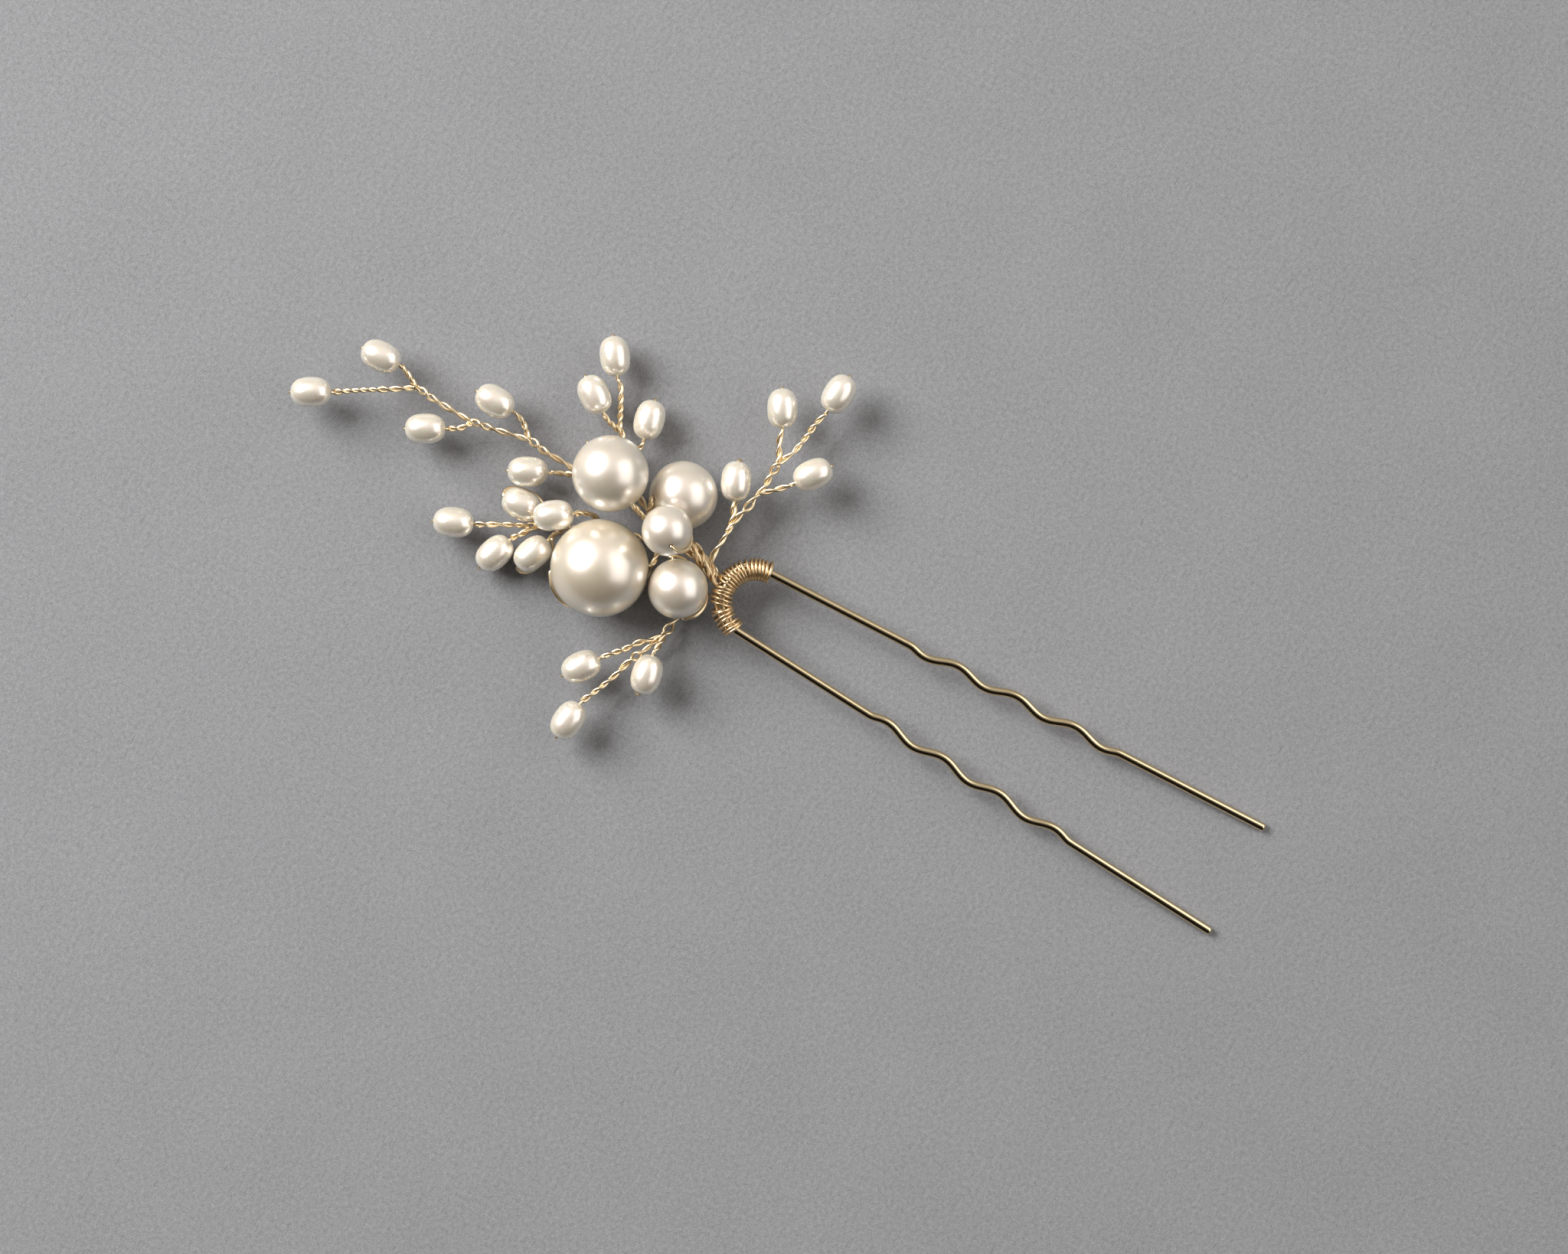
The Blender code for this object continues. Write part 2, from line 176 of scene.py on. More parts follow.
def table_paper():
    """Pale grey fibrous paper: grain, clumps and clouds in its tone, thin dark fibres, a shallow bump."""
    finish = Finish("table_paper")
    grain = (finish.noise(6500, 4, 0.75) - 0.5) * 3.4 + 0.5
    clumps = (finish.noise(1900, 3, 0.8) - 0.5) * 3.0 + 0.5
    cloud = finish.noise(60, 3)
    color = finish.blend(
        grain * 0.5 + clumps * 0.35 + cloud * 0.15, (0.15, 0.15, 0.156, 1), (0.39, 0.39, 0.40, 1)
    )
    for turn in (0.4, 1.5, 2.5):
        where = finish.node("ShaderNodeMapping", {}, finish.place(), (0, 0, 0), (0, 0, turn), (1.0, 7.0, 1.0))
        strands = finish.noise(430, 1, 0.3, where)
        fibre = finish.node("ShaderNodeMapRange", {}, strands, 0.765, 0.80, 0.0, 0.45)
        color = finish.blend(fibre, color, (0.16, 0.16, 0.17, 1))
    return finish.surface(
        Base_Color=color, Roughness=0.9, Specular_IOR_Level=0.2, Normal=finish.bump(grain, 0.5, 0.0001)
    )


floor_mesh = bpy.data.meshes.new("table")
floor_mesh.from_pydata([(-3, -3, 0), (3, -3, 0), (3, 3, 0), (-3, 3, 0)], [], [(0, 1, 2, 3)])
floor_mesh.materials.append(table_paper())
table = bpy.data.objects.new("table", floor_mesh)
bpy.context.scene.collection.objects.link(table)


def studio_walls():
    """A dim room, as glossy things reflect it: paler at the upper right, darkest past the lower edge."""
    world = bpy.data.worlds.new("studio")
    world.use_nodes = True
    bpy.context.scene.world = world
    walls = Finish("studio", world.node_tree)
    background = world.node_tree.nodes["Background"]
    direction = walls.node("ShaderNodeTexCoord", out=0)

    def facing(right, up, height, least, most):
        """0 to 1 as the cosine of the angle to a side of the room goes from least to most."""
        side = np.array(view_spot(right, up, height)) - np.array(view_spot(0, 0, 0))
        side = tuple(side / np.linalg.norm(side))
        cosine = walls.node("ShaderNodeVectorMath", {"operation": "DOT_PRODUCT"}, direction, side, out=1)
        return walls.node("ShaderNodeMapRange", {}, cosine, least, most, 0.0, 1.0)

    height = walls.node("ShaderNodeSeparateXYZ", {}, direction, out=2)
    high = walls.node("ShaderNodeMapRange", {}, height, 0.05, 0.55, 0.0, 1.0)
    ceiling = walls.blend(high, (0.12, 0.112, 0.104, 1), (0.34, 0.325, 0.30, 1))
    pale_wall = facing(right=0.50, up=0.70, height=0.75, least=0.55, most=0.95)
    dark_wall = facing(right=-0.10, up=-0.80, height=0.65, least=0.35, most=0.85)
    room = walls.blend(pale_wall, ceiling, (0.56, 0.54, 0.51, 1))
    room = walls.blend(dark_wall, room, (0.010, 0.009, 0.008, 1))
    walls.put(background.inputs["Color"], room)
    background.inputs["Strength"].default_value = 1.0


studio_walls()

# ---- Pin ----
# One spring wire of 1.1 mm, plated pale gold and polished: a round crown and two legs that splay,
# each with a crimp of seven half waves. Its plane drops from the crown to the tips on the table.

# Sizes from here on are in mm. CUT_FACE is the share of the radius that is left at a cut end.
CROWN_PLACE = np.array([-1.7, 3.28, 0.0])
PIN_RADIUS = 0.55
PIN_STEP = 0.16
CUT_LENGTH = 0.25
CUT_FACE = 0.55
SHARP_EDGE = math.radians(50)
CROWN_RADIUS = 4.1
CROWN_HEIGHT = 4.5
LEG_SPLAY = math.radians(2.6)
LEG_STRAIGHT = 19.8
CRIMP_HALF_WAVE = 4.1
CRIMP_HALF_WAVES = 7
CRIMP_DEPTH = 0.48
LEG_END = 20.7
LONGER_LEG_EXTRA = 0.6
CRIMP_LENGTH = CRIMP_HALF_WAVE * CRIMP_HALF_WAVES
LEG_LENGTH = LEG_STRAIGHT + CRIMP_LENGTH + LEG_END
PIN_TILT = math.asin((CROWN_HEIGHT - PIN_RADIUS) / ((LEG_LENGTH + LONGER_LEG_EXTRA) * math.cos(LEG_SPLAY)))


def tilted(x, y):
    """Points of the pin's plane, from their places across and along it: height falls with -y."""
    across, along = np.broadcast_arrays(np.asarray(x, float), np.asarray(y, float))
    return np.stack((across, along * math.cos(PIN_TILT), CROWN_HEIGHT + along * math.sin(PIN_TILT)), -1)


PIN_NORMAL = np.cross((1.0, 0.0, 0.0), tilted(0, 1) - tilted(0, 0))


def lengths_along(path):
    """The length of a path up to each of its points: the running sum of its steps."""
    return np.concatenate(([0.0], np.cumsum(np.linalg.norm(np.diff(path, axis=0), axis=1))))


def resampled(path, step):
    """Points one step apart along a path, on the straight lines between its own."""
    path = np.asarray(path, float)
    length = lengths_along(path)
    count = max(2, int(round(length[-1] / step)) + 1)
    spots = np.linspace(0, length[-1], count)
    return np.stack([np.interp(spots, length, path[:, i]) for i in range(3)], 1)


def directions(path):
    """The unit direction of travel at each point of a path."""
    ahead = np.gradient(path, axis=0)
    return ahead / np.linalg.norm(ahead, axis=1, keepdims=True)


def carried_sides(path):
    """Two unit directions across a path at each point, carried along it with the least turning."""
    ahead = directions(path)
    side = np.cross(ahead[0], (0.0, 0.0, 1.0) if abs(ahead[0][2]) < 0.9 else (1.0, 0.0, 0.0))
    sides = np.empty_like(path)
    for i, forward in enumerate(ahead):
        side = side - forward * side.dot(forward)
        side /= np.linalg.norm(side)
        sides[i] = side
    return sides, np.cross(ahead, sides)


def swung(side, across, turn):
    """Unit directions across a path: side times the cosine of a turn, plus across times its sine."""
    return np.cos(turn)[..., None] * side + np.sin(turn)[..., None] * across


def ring_faces(rings, around, closed=False):
    """Quads between each ring of points and the next, and from the last to the first if closed."""
    start = np.arange(rings if closed else rings - 1)[:, None] * around
    after = (start + around) % (rings * around)
    here = np.arange(around)[None, :]
    there = (here + 1) % around
    return np.stack((start + here, start + there, after + there, after + here), -1).reshape(-1, 4)


def wire(path, radius, around=12):
    """A round wire with closed ends: circles of the given radius (one, or one a point) along a path."""
    path = np.asarray(path, float)
    side, across = carried_sides(path)
    turn = np.arange(around)[None, :] * 2 * np.pi / around
    radius = np.broadcast_to(np.asarray(radius, float), len(path))[:, None, None]
    points = (path[:, None] + swung(side[:, None], across[:, None], turn) * radius).reshape(-1, 3)
    last = len(points) - around
    ends = np.stack((np.arange(around)[::-1], last + np.arange(around)))
    return points, [ring_faces(len(path), around), ends]


def rounded_ends(path, radius, over):
    """A wire's radius at each point: at both ends it grows as a quarter ellipse, like a filed cut."""
    length = lengths_along(path)
    near = np.clip(np.minimum(length, length[-1] - length) / over, 0, 1)
    return radius * (CUT_FACE + (1 - CUT_FACE) * np.sqrt(1 - (1 - near) ** 2))


def add_piece(name, shells, material, body, slot, *replaced):
    """A smooth-shaded object from one or more shells of points in mm and blocks of faces."""
    points, faces, offset = [], [], 0
    for shell_points, face_blocks in shells:
        points.append(shell_points)
        for block in face_blocks:
            faces += (block + offset).tolist()
        offset += len(shell_points)
    mesh = bpy.data.meshes.new(name)
    mesh.from_pydata((np.concatenate(points) * MM).tolist(), [], faces)
    mesh.validate()
    mesh.shade_smooth()
    mesh.set_sharp_from_angle(angle=SHARP_EDGE)
    mesh.materials.append(material)
    obj = bpy.data.objects.new(name, mesh)
    bpy.context.scene.collection.objects.link(obj)
    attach(obj, body)
    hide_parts(*replaced)


def pin_path():
    """Tip to tip: each leg is a line with a sine crimp whose first bump is inwards, and the crown an arc."""
    legs = []
    for side, extra in ((1, 0.0), (-1, LONGER_LEG_EXTRA)):
        along = np.concatenate((np.linspace(0, LEG_LENGTH, 700), [LEG_LENGTH + extra + 1e-3]))
        phase = np.clip((along - LEG_STRAIGHT) / CRIMP_LENGTH, 0, 1)
        out = CROWN_RADIUS - CRIMP_DEPTH * np.sin(np.pi * CRIMP_HALF_WAVES * phase)
        x = out * math.cos(LEG_SPLAY) + along * math.sin(LEG_SPLAY)
        y = out * math.sin(LEG_SPLAY) - along * math.cos(LEG_SPLAY)
        legs.append(tilted(side * x, y))
    turn = np.linspace(LEG_SPLAY, math.pi - LEG_SPLAY, 60)[1:-1]
    crown = tilted(CROWN_RADIUS * np.cos(turn), CROWN_RADIUS * np.sin(turn))
    return np.concatenate((legs[0][::-1], crown, legs[1]))


def softened(path, reach):
    """A path of even steps with its corners rounded: each point is a bell-weighted mean of its neighbours."""
    span = np.arange(-3 * reach, 3 * reach + 1)
    bell = np.exp(-0.5 * (span / reach) ** 2)
    bell /= bell.sum()
    pad = len(span) // 2
    before = 2 * path[0] - path[1 : pad + 1][::-1]
    after = 2 * path[-1] - path[-pad - 1 : -1][::-1]
    padded = np.concatenate((before, path, after))
    return np.stack([np.convolve(padded[:, i], bell, "valid") for i in range(3)], 1)


def plated_wire(name, light, deep, roughness, scratch):
    """Polished plated wire: slight changes of tone, with fine draw marks in its gloss and bump."""
    finish = Finish(name)
    tone = finish.noise(420, 3)
    marks = finish.noise(5200, 4, 0.6)
    return finish.surface(
        Base_Color=finish.blend(tone, (*deep, 1), (*light, 1)),
        Metallic=1.0,
        Roughness=marks * 0.12 + (roughness - 0.04),
        Normal=finish.bump(marks, scratch, 0.00002),
    )


pin_line = softened(resampled(pin_path(), PIN_STEP), 2) + CROWN_PLACE
pin_gold = plated_wire("pale_gold_plating", (0.84, 0.69, 0.45), (0.72, 0.57, 0.34), 0.10, 0.25)
add_piece(
    "polished_pin", [wire(pin_line, rounded_ends(pin_line, PIN_RADIUS, CUT_LENGTH), 24)], pin_gold,
    "pin_and_wires", "hair_pin", "hair_pin",
)

# ---- Pearls ----
# Ivory pearls, drilled through: five round ones, and twenty oval ones with the soft shoulders of
# rice pearls. Each turns on the wire through its bore. Nacre over the bead gives a blurred gloss.

BORE_RADIUS = 0.28
BORE_MOUTH = 0.12
UNEVENNESS = 0.0035


def pearl_outline(half_length, radius, fullness, steps=44):
    """Bore wall, rounded mouth and skin: a superellipse, |a/L|^n + |r/R|^n = 1, cut at the bore."""
    edge = math.acos(((BORE_RADIUS + BORE_MOUTH) / radius) ** (fullness / 2))
    turn = np.linspace(-edge, edge, steps)
    along = half_length * np.sign(np.sin(turn)) * np.abs(np.sin(turn)) ** (2 / fullness)
    out = radius * np.cos(turn) ** (2 / fullness)
    end = along[-1]
    mouth = np.linspace(0, math.pi / 2, 5)[1:]
    mouth_along = end - BORE_MOUTH * (1 - np.cos(mouth))
    mouth_out = BORE_RADIUS + BORE_MOUTH * (1 - np.sin(mouth))
    bore = np.linspace(mouth_along[-1], -mouth_along[-1], 7)[1:-1]
    along = np.concatenate((along, mouth_along, bore, -mouth_along[::-1]))
    out = np.concatenate((out, mouth_out, np.full(len(bore), BORE_RADIUS), mouth_out[::-1]))
    return along, out


def pearl(centre, axis, half_length, radius, fullness, around, rng):
    """The outline turned about the bore, its radius uneven by two sines of two and three waves a turn.

    The unevenness is a few hundredths of a millimetre on the skin and fades out towards the bore.
    """
    along, out = pearl_outline(half_length, radius, fullness)
    turn = np.arange(around)[None, :] * 2 * np.pi / around
    side = np.cross(axis, (0.0, 0.0, 1.0))
    side /= np.linalg.norm(side)
    across = np.cross(axis, side)
    phase = rng.uniform(0, 2 * np.pi, 4)
    lean = rng.uniform(0.3, 1.0, 2)
    slant = along[:, None] / radius
    uneven = lean[0] * np.sin(turn * 2 + phase[0] + slant)
    uneven = uneven + lean[1] * np.sin(turn * 3 + phase[1] - 1.7 * slant + phase[2])
    skin = np.clip((out - BORE_RADIUS - BORE_MOUTH) / (0.5 * radius), 0, 1)[:, None]
    out = out[:, None] + UNEVENNESS * radius * uneven * skin
    points = centre + along[:, None, None] * axis + out[..., None] * swung(side, across, turn)
    # This order of corners faces the quads into the pearl. ring_faces' own order faces them out of it.
    quads = ring_faces(len(along), around, closed=True)[:, [0, 3, 2, 1]]
    return points.reshape(-1, 3), [quads]


def nacre(name, blush, cream, blur):
    """Nacre: a colour that drifts between blush and cream, a blurred bright lustre and a clear skin."""
    finish = Finish(name)
    drift = finish.noise(170, 2)
    cloud = finish.noise(900, 3)
    ripple = finish.noise(700, 1, 0.3)
    return finish.surface(
        Base_Color=finish.blend(drift * 0.75 + cloud * 0.25, (*blush, 1), (*cream, 1)),
        Roughness=cloud * 0.06 + (blur - 0.03),
        IOR=3.3,
        Specular_IOR_Level=0.95,
        Subsurface_Weight=0.35,
        Subsurface_Radius=(1.0, 0.62, 0.34),
        Subsurface_Scale=0.0012,
        Coat_Weight=0.35,
        Coat_Roughness=0.24,
        Thin_Film_Thickness=350.0,
        Thin_Film_IOR=1.09,
        Normal=finish.bump(ripple, 0.06, 0.00004),
    )


rice_white = nacre("white_rice_nacre", (0.86, 0.75, 0.64), (0.83, 0.77, 0.60), 0.28)
ivory = nacre("ivory_nacre", (0.71, 0.58, 0.48), (0.69, 0.63, 0.47), 0.34)
champagne = nacre("champagne_nacre", (0.70, 0.56, 0.43), (0.68, 0.61, 0.41), 0.34)

# The radius of each round pearl, and the half length, radius and fullness of a rice pearl, in mm.
ROUND_RADII = {
    "round_pearl_largest": 6.05, "round_pearl_top": 4.7, "round_pearl_right": 4.25,
    "round_pearl_lower": 3.7, "round_pearl_small": 3.1,
}
RICE_SIZE = (2.5, 1.88, 2.4)
pearls = {}
for number, joint in enumerate(frame["joints"]):
    node = joint["name"].removesuffix("_spin")
    centre = np.array(joint["pos_m"]) / MM
    axis = np.array(joint["axis"])
    if node.startswith("rice"):
        half_length, radius, fullness = RICE_SIZE
        around, material = 48, rice_white
    else:
        half_length, radius, fullness = ROUND_RADII[node], ROUND_RADII[node], 2.0
        around, material = 96, champagne if node == "round_pearl_largest" else ivory
    pearls[node] = (centre, axis, half_length, radius, fullness)
    shape = pearl(centre, axis, half_length, radius, fullness, around, np.random.default_rng(number))
    add_piece(node + "_nacre", [shape], material, joint["child"], node, node)

# ---- Sprigs ----
# Each pearl hangs on one soft gold-plated wire: through the bore, out at the tip, back round the
# outside and twisted on itself down to the trunk. A sprig's stems are twisted into its longest one.

# A pitch is the length of one whole turn. The loop runs over the shares LOOP_START to LOOP_END of
# a half turn round the pearl, and is on its second side from the share SIDE_REACHED of its points.
STRAND_RADIUS = 0.205
STRAND_STEP = 0.14
TIGHT_PITCH = 2.3
OPEN_PITCH = 3.2
PITCH_ALONG_SPRIG = 3.8
PITCH_CHANGES_AT = 8.0
TWIST_RADIUS = 0.20
LOOSENESS = 1.15
EYE_BULGE = 0.26
EYE_REACH = 0.8
STEM_GAP = 0.35
TIP_GAP = 0.30
SIDE_GAP = 0.26
LOOP_POINTS = 40
LOOP_START, LOOP_END = 0.10, 0.93
SIDE_REACHED = 0.6


def smooth_route(points, step=STRAND_STEP):
    """A Catmull-Rom curve through points, in even steps."""
    p = np.asarray(points, float)
    p = np.concatenate(([2 * p[0] - p[1]], p, [2 * p[-1] - p[-2]]))
    t = np.linspace(0, 1, 24, endpoint=False)[None, :, None]
    a, b, c, d = (p[i : len(p) - 3 + i][:, None] for i in range(4))
    curve = (2 * b + (c - a) * t + (2 * a - 5 * b + 4 * c - d) * t**2 + (3 * b - a - 3 * c + d) * t**3) / 2
    return resampled(np.concatenate((curve.reshape(-1, 3), p[-2:-1])), step)


def twisted_pair(route, rng, near_pitch, eyes=()):
    """Two strands wound half a turn apart round a route, with a hand's changes of pitch and tightness.

    The strands are a helix whose pitch goes from near_pitch by the pearl to a longer one past 8 mm, as an
    S curve. Two sines vary its radius, and a bell curve widens it at each of the eyes, which are given
    as distances from the pearl.
    """
    side, across = carried_sides(route)
    s = np.arange(len(route)) * STRAND_STEP
    phase = rng.uniform(0, 2 * np.pi, 4)
    longer = 1 / (1 + np.exp(PITCH_CHANGES_AT - s))
    pitch = near_pitch + (PITCH_ALONG_SPRIG - near_pitch) * longer
    turn = phase[0] + np.cumsum(2 * np.pi * STRAND_STEP / pitch) + 0.5 * np.sin(s * 0.8 + phase[1])
    loose = TWIST_RADIUS * (LOOSENESS + 0.22 * np.sin(s * 0.9 + phase[2]) + 0.14 * np.sin(s * 2.3 + phase[3]))
    for eye in eyes:
        loose = loose + EYE_BULGE * np.exp(-(((s - eye) / EYE_REACH) ** 2))
    return [route + swung(side, across, turn) * (sign * loose)[:, None] for sign in (1, -1)]


def threaded_strand(pearl_shape, loop_sides, pair):
    """One wire: up the first strand of a pair, through the bore, back round the pearl, down the second.

    The way back is half a superellipse a little outside the pearl's. Its side of the pearl goes from
    the first of loop_sides at the tip to the second, which it reaches before the stem.
    """
    centre, axis, half_length, radius, fullness = pearl_shape
    right = np.cross(axis, (0.0, 0.0, 1.0))
    right /= np.linalg.norm(right)
    below = np.cross(axis, right)
    below *= -np.sign(below[2]) if abs(below[2]) > 1e-6 else 1
    through = np.linspace(-half_length - 0.15, half_length + TIP_GAP * 0.4, 20)
    bore = centre + through[:, None] * axis
    turn = np.linspace(LOOP_START, LOOP_END, LOOP_POINTS) * np.pi
    angle = np.radians(np.interp(np.linspace(0, 1, LOOP_POINTS), (0, SIDE_REACHED), loop_sides))
    along = (half_length + TIP_GAP) * np.sign(np.cos(turn)) * np.abs(np.cos(turn)) ** (2 / fullness)
    out = (radius + SIDE_GAP) * np.sin(turn) ** (2 / fullness)
    back = centre + along[:, None] * axis + out[:, None] * swung(below, right, angle)
    path = np.concatenate((pair[0][::-1], bore, back, pair[1]))
    return softened(resampled(path, STRAND_STEP), 2)


# Routes of the twisted stems from each pearl to the stem it joins, in mm from the crown's centre,
# with the side of the pearl that its wire comes back on: 0 is underneath and 90 right of the bore.
STEMS = {
    "sprig_wire_left": {
        "rice_pearl_left_2": ((0, 0), [
            (-1.5, 55.2, 4.4), (0.5, 52.0, 4.2), (2.2, 49.2, 4.0), (2.1, 47.0, 3.8),
            (2.0, 43.2, 3.6), (2.2, 40.5, 3.6), (2.9, 37.1, 3.6), (3.6, 34.0, 3.6),
            (3.3, 31.7, 3.4), (3.3, 29.0, 3.0), (3.1, 23.7, 2.6), (3.0, 19.5, 2.9),
            (2.3, 16.9, 3.6), (1.9, 14.2, 4.9), (1.6, 12.3, 5.4), (2.0, 10.4, 5.3), (1.7, 9.0, 5.2),
            (1.1, 7.6, 5.1), (0.7, 6.4, 5.2), (0.3, 5.5, 5.5),
        ]),
        "rice_pearl_left_1": ((0, 0), [(3.1, 50.9, 4.4), (2.2, 49.2, 4.0)]),
        "rice_pearl_left_3": ((0, 0), [(0.6, 42.2, 3.8), (2.1, 41.2, 3.6)]),
        "rice_pearl_left_4": ((0, 0), [(5.2, 36.0, 4.1), (4.3, 34.9, 3.7), (3.6, 34.0, 3.6)]),
        "rice_pearl_left_5": ((0, 0), [(1.9, 28.8, 3.5), (2.6, 27.2, 3.0), (3.1, 25.4, 2.7)]),
        "round_pearl_right": ((42, 42), [
            (4.3, 17.0, 6.6), (3.5, 16.9, 5.8), (2.7, 16.8, 4.6), (2.4, 16.6, 3.9),
        ]),
        "round_pearl_top": ((0, 0), [(2.4, 17.2, 7.2), (1.9, 15.4, 6.4), (1.7, 13.6, 5.9), (1.6, 12.3, 5.4)]),
        "round_pearl_small": ((-32, -55), [(3.3, 15.9, 7.3), (2.6, 15.8, 6.8), (1.9, 15.4, 6.4)]),
    },
    "sprig_wire_top": {
        "rice_pearl_top_1": ((0, 0), [
            (14.9, 27.6, 3.3), (12.9, 26.5, 3.0), (10.8, 25.4, 2.7), (9.7, 24.4, 2.4),
            (6.5, 22.2, 1.7), (4.6, 19.5, 1.3), (3.2, 17.0, 1.4), (2.2, 14.9, 2.2),
            (2.3, 12.6, 3.4), (2.6, 10.4, 4.4), (2.2, 8.9, 4.5), (1.6, 7.6, 4.5), (1.1, 6.4, 4.7),
        ]),
        "rice_pearl_top_2": ((0, 0), [(10.4, 26.7, 3.6), (10.2, 25.6, 3.0), (9.9, 24.6, 2.5)]),
        "rice_pearl_top_3": ((0, 0), [(9.5, 21.8, 2.9), (8.4, 22.4, 2.3), (7.3, 22.7, 1.9)]),
    },
    "sprig_wire_right": {
        "rice_pearl_right_2": ((0, 0), [
            (22.9, 4.4, 4.8), (20.4, 4.7, 4.6), (18.3, 5.1, 4.6), (16.8, 5.8, 4.6),
            (14.9, 6.1, 4.6), (13.1, 6.0, 4.7), (11.7, 6.3, 4.8), (9.6, 6.6, 4.9),
            (8.1, 7.0, 5.0), (6.1, 7.2, 5.1), (4.8, 7.2, 5.2), (3.7, 7.3, 5.1),
            (2.4, 7.3, 5.1), (1.4, 6.9, 4.8), (0.8, 6.0, 4.3),
        ]),
        "rice_pearl_right_1": ((0, 0), [(18.8, 7.3, 4.8), (17.6, 6.6, 4.6), (16.2, 6.0, 4.6)]),
        "rice_pearl_right_4": ((0, 0), [(14.1, 3.9, 5.0), (13.0, 5.0, 4.9), (11.9, 6.2, 4.8)]),
        "rice_pearl_right_3": ((25, 25), [(8.6, 7.9, 5.0), (7.3, 7.4, 5.0), (6.1, 7.2, 5.1)]),
    },
    "sprig_wire_low_left": {
        "rice_pearl_low_left_3": ((0, 0), [
            (-7.9, 33.2, 3.2), (-6.5, 30.7, 2.8), (-5.3, 28.3, 2.2), (-4.0, 25.8, 1.7),
            (-2.8, 23.6, 1.3), (-1.2, 21.0, 1.2), (-0.3, 18.0, 1.4), (0.0, 15.6, 2.2),
            (0.2, 13.6, 3.1), (0.6, 12.0, 3.9), (1.3, 10.5, 4.5), (1.1, 9.0, 4.5),
            (0.6, 7.7, 4.5), (0.2, 6.6, 4.6), (-0.1, 5.6, 4.9),
        ]),
        "rice_pearl_low_left_4": ((0, 0), [(-7.2, 29.4, 3.0), (-6.0, 28.6, 2.5), (-5.2, 28.0, 2.1)]),
        "rice_pearl_low_left_1": ((60, 60), [(-3.7, 27.4, 2.8), (-4.2, 26.3, 1.8)]),
        "rice_pearl_low_left_2": ((0, 0), [
            (-0.9, 23.6, 5.6), (-0.6, 22.6, 4.0), (-0.8, 21.6, 2.4), (-1.2, 21.0, 1.2),
        ]),
        "rice_pearl_low_left_5": ((-50, -50), [(-5.0, 25.6, 2.7), (-4.4, 25.3, 2.0), (-3.7, 25.2, 1.6)]),
        "round_pearl_largest": ((-88, -30), [(-1.3, 13.2, 5.6), (-0.5, 13.5, 4.4), (0.1, 14.0, 2.9)]),
        "round_pearl_lower": ((-95, -45), [(0.0, 12.4, 5.6), (0.1, 13.0, 4.4), (0.2, 13.6, 3.1)]),
    },
    "sprig_wire_bottom": {
        "rice_pearl_bottom_3": ((0, 0), [
            (-19.8, 11.8, 4.2), (-17.8, 11.0, 4.1), (-16.1, 10.4, 4.0), (-14.2, 9.9, 3.9),
            (-12.2, 9.0, 3.6), (-10.3, 8.3, 3.2), (-8.6, 7.7, 2.7), (-6.3, 7.4, 1.8),
            (-3.6, 7.0, 1.7), (-1.6, 7.0, 2.4), (0.0, 7.0, 3.6), (0.5, 6.6, 4.2), (0.6, 6.0, 4.5),
        ]),
        "rice_pearl_bottom_1": ((0, 0), [
            (-14.1, 12.1, 4.0), (-13.0, 11.1, 3.8), (-11.4, 10.0, 3.5), (-10.1, 8.6, 3.1), (-8.8, 7.8, 2.8),
        ]),
        "rice_pearl_bottom_2": ((35, 0), [(-10.6, 7.6, 4.4), (-9.7, 7.6, 3.6), (-8.7, 7.7, 2.8)]),
    },
}

# Where the hand twist was left open, in mm from the pearl along its stem.
OPEN_EYES = {
    "rice_pearl_left_2": (11.5, 19.0, 26.5),
    "rice_pearl_left_1": (5.2,),
    "rice_pearl_top_1": (8.0,),
    "rice_pearl_right_2": (9.0, 15.0),
    "rice_pearl_low_left_3": (7.5,),
    "rice_pearl_bottom_3": (8.5, 14.0),
}

craft_gold = plated_wire("light_gold_craft_wire", (0.97, 0.81, 0.56), (0.86, 0.67, 0.42), 0.29, 0.15)
for number, (node, stems) in enumerate(STEMS.items()):
    rng = np.random.default_rng(100 + number)
    near_pitch = TIGHT_PITCH if node in ("sprig_wire_left", "sprig_wire_top") else OPEN_PITCH
    shells = []
    for pearl_node, (loop_sides, points) in stems.items():
        centre, axis, half_length = pearls[pearl_node][:3]
        base = centre - axis * (half_length + STEM_GAP)
        route = smooth_route([base - CROWN_PLACE, *points]) + CROWN_PLACE
        pair = twisted_pair(route, rng, near_pitch, OPEN_EYES.get(pearl_node, ()))
        shells.append(wire(threaded_strand(pearls[pearl_node], loop_sides, pair), STRAND_RADIUS, 10))
    add_piece(node.replace("wire", "strands"), shells, craft_gold, "pin_and_wires", node, node)

# ---- Trunk and crown coils ----
# The sprigs' wires come together in a short thick twist, lie along the crown both ways, and are
# wound back over themselves round it. Their gold is darker and browner than the sprigs': partly a warmer
# brown gold, partly painted shade for the shade the close turns lie in.

# ON_PIN is how far a strand that lies on the pin's wire is from its centre.
TRUNK_LINE = [
    (1.9, 12.2, 4.9), (2.0, 10.4, 4.9), (1.6, 8.9, 4.8), (1.0, 7.4, 4.6), (0.5, 6.0, 4.8), (0.2, 5.0, 5.3),
]
TRUNK_STRANDS = 5
TRUNK_REACH, TRUNK_REACH_SWAY = 0.62, 0.12
TRUNK_TURNS = 1.7
COIL_STRAND = 0.185
COIL_RADIUS = 1.26
COIL_POINTS_A_TURN = 30
ON_PIN = 0.74
CROWN_TAILS = 5
TAIL_SHARE = 0.9


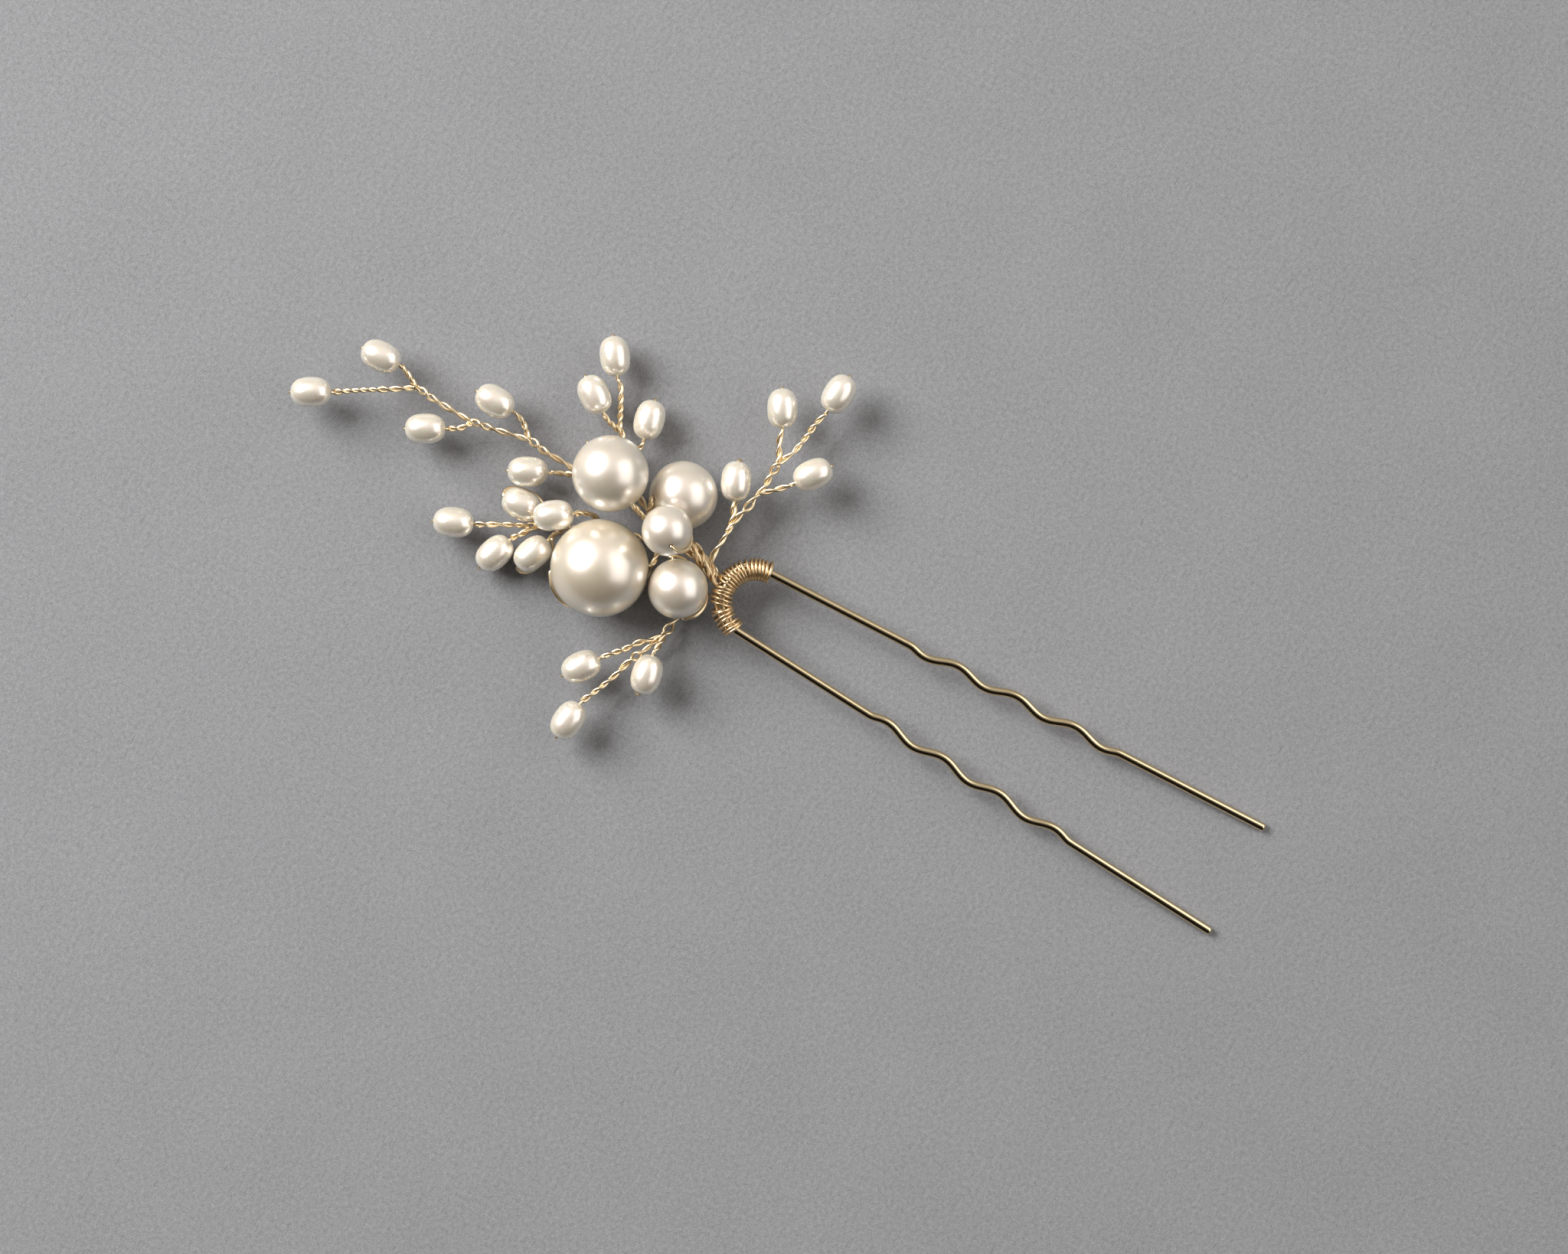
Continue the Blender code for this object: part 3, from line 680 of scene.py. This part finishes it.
def trunk_strands(rng):
    """Strands round the sprigs' stems where these run together: helices whose radius and turn sway."""
    line = smooth_route(TRUNK_LINE) + CROWN_PLACE
    side, across = carried_sides(line)
    s = np.linspace(0, 1, len(line))
    shells = []
    for i in range(TRUNK_STRANDS):
        out = TRUNK_REACH + TRUNK_REACH_SWAY * np.sin(3 * np.pi * s + rng.uniform(0, 6))
        turn = 2 * np.pi * (i / TRUNK_STRANDS + s * TRUNK_TURNS) + 0.6 * np.sin(7 * s + rng.uniform(0, 6))
        path = line + out[:, None] * swung(side, across, turn)
        shells.append(wire(path, STRAND_RADIUS, 10))
    return shells


def beside_crown(angle, reach, turn):
    """Points round the crown's wire: at an angle of its arc, and at a reach and a turn about the wire."""
    out = CROWN_RADIUS + reach * np.cos(turn)
    above = reach * np.sin(turn)
    return tilted(out * np.cos(angle), out * np.sin(angle)) + above[:, None] * PIN_NORMAL + CROWN_PLACE


def coil(start, end, turns, crowding, lean, rng):
    """A helix round the crown's arc, from one angle of it to the other.

    Two sines, scaled by crowding, make its spacing uneven, and lean tips its turns to and fro. Its last
    half turn closes onto the pin's wire.
    """
    t = np.linspace(0, 1, turns * COIL_POINTS_A_TURN + 1)
    sway = rng.uniform(0, 2 * np.pi, 3)
    uneven = np.sin(2 * np.pi * 2.3 * t + sway[0]) + 0.6 * np.sin(2 * np.pi * 5.1 * t + sway[1])
    uneven = crowding * uneven / turns
    angle = np.radians(start + (end - start) * np.clip(t + uneven * np.sin(np.pi * t), 0, 1))
    turn = 2 * np.pi * turns * t - np.pi / 2
    angle = angle + lean * np.sin(2 * np.pi * 1.7 * t + sway[2]) * np.cos(turn)
    reach = COIL_RADIUS * (1 + 0.03 * np.sin(2 * np.pi * 3.7 * t + sway[2]))
    reach = reach + (ON_PIN - reach) * np.clip((t - 1) * turns * 2 + 1, 0, 1) ** 2
    return beside_crown(angle, reach, turn)


def crown_tails(start, end, rng):
    """Wire ends that lie along the crown under the coil: arcs on the pin's wire, each swaying about it."""
    angle = np.radians(np.linspace(start, start + TAIL_SHARE * (end - start), 60))
    shells = []
    for place in np.arange(CROWN_TAILS) * 2 * np.pi / CROWN_TAILS + rng.uniform(0, 1):
        path = beside_crown(angle, ON_PIN, place + 0.5 * np.sin(3 * angle + place))
        shells.append(wire(path, COIL_STRAND, 8))
    return shells


# Darker and browner than the sprigs' gold: partly the wire's own warmer tone, partly painted shade for the
# trunk and coils lying in shadow.
coil_gold_with_painted_shade = plated_wire("brown_gold_coil_painted_shade", (0.93, 0.72, 0.45), (0.75, 0.53, 0.29), 0.27, 0.15)
add_piece(
    "trunk_strands", trunk_strands(np.random.default_rng(7)), coil_gold_with_painted_shade,
    "pin_and_wires", "stem_trunk", "stem_trunk",
)
for node, start, end, turns, crowding, lean in (
    ("crown_wrap_upper", 89, 0, 14, 0.10, math.radians(1.5)),
    ("crown_wrap_lower", 90, 176, 12, 0.45, math.radians(4)),
):
    rng = np.random.default_rng(turns)
    shells = [wire(coil(start, end, turns, crowding, lean, rng), COIL_STRAND, 10)]
    shells += crown_tails(start, end, rng)
    add_piece(node.replace("wrap", "coil"), shells, coil_gold_with_painted_shade, "pin_and_wires", node, node)
